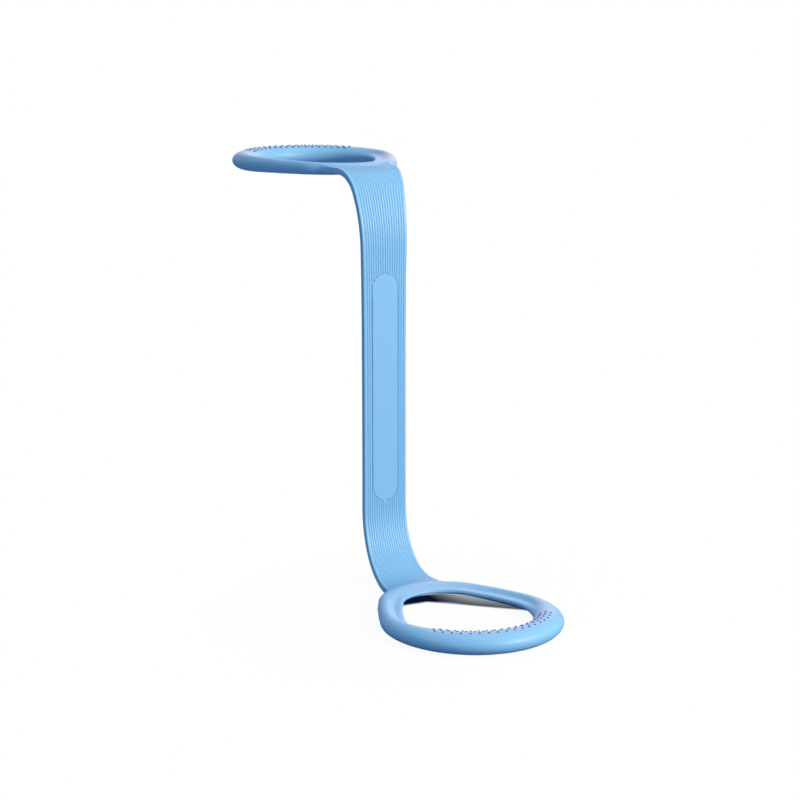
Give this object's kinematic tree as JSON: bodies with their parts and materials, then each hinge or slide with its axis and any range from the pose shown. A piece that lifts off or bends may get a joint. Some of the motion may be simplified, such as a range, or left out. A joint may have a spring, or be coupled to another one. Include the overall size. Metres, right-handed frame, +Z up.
{
  "type": "stretching strap",
  "caption": "Soft moulded stretching strap: a flat ribbed band that flares at each end into a thick closed loop with a nubbed grip, for a hand or a foot.",
  "frame": {"origin": "centre of the upper loop's grip arc, on the loop's mid-plane", "axes": "+X is the front of the strap, the way the lower loop reaches; +Y runs across the strap; +Z is up along the straight strap"},
  "size_m": [0.4169, 0.132, 0.3275],
  "materials": {
    "moulded_rubber": "satin",
    "panel_rubber": "satin"
  },
  "bodies": {
    "upper_ring": {"upper_loop": "moulded_rubber", "upper_grip_nubs": "moulded_rubber", "upper_neck": "moulded_rubber"},
    "upper_strap": {"upper_bend": "moulded_rubber", "upper_web": "moulded_rubber"},
    "strap_centre": {"middle_web": "moulded_rubber", "label_panel": "panel_rubber"},
    "lower_strap": {"lower_web": "moulded_rubber", "lower_bend": "moulded_rubber"},
    "lower_ring": {"lower_neck": "moulded_rubber", "lower_loop": "moulded_rubber", "lower_grip_nubs": "moulded_rubber"}
  },
  "joints": [
    {"name": "upper_fold", "type": "hinge", "parent": "upper_ring", "child": "upper_strap", "pos_m": [0.12689, 0, -0.00835], "axis": [0, 1, 0], "range_deg": [-170, 50], "stiffness_Nm_per_rad": 0.8, "springref_deg": -11.33, "deforming": ["upper_bend"]},
    {"name": "stretch", "type": "slide", "parent": "upper_strap", "child": "strap_centre", "axis": [0, 0, -1], "range_m": [0, 0.15], "stiffness_N_per_m": 900, "springref_m": -0.00158, "deforming": ["upper_web", "label_panel"]},
    {"name": "twist", "type": "hinge", "parent": "strap_centre", "child": "lower_strap", "pos_m": [0.13524, 0, -0.21831], "axis": [0, 0, 1], "range_deg": [-150, 150], "stiffness_Nm_per_rad": 0.1, "deforming": ["lower_web", "label_panel"]},
    {"name": "lower_fold", "type": "hinge", "parent": "lower_strap", "child": "lower_ring", "pos_m": [0.14578, 0, -0.30492], "axis": [0, 1, 0], "range_deg": [-50, 170], "stiffness_Nm_per_rad": 0.8, "springref_deg": -9.44, "deforming": ["lower_bend"]}
  ]
}
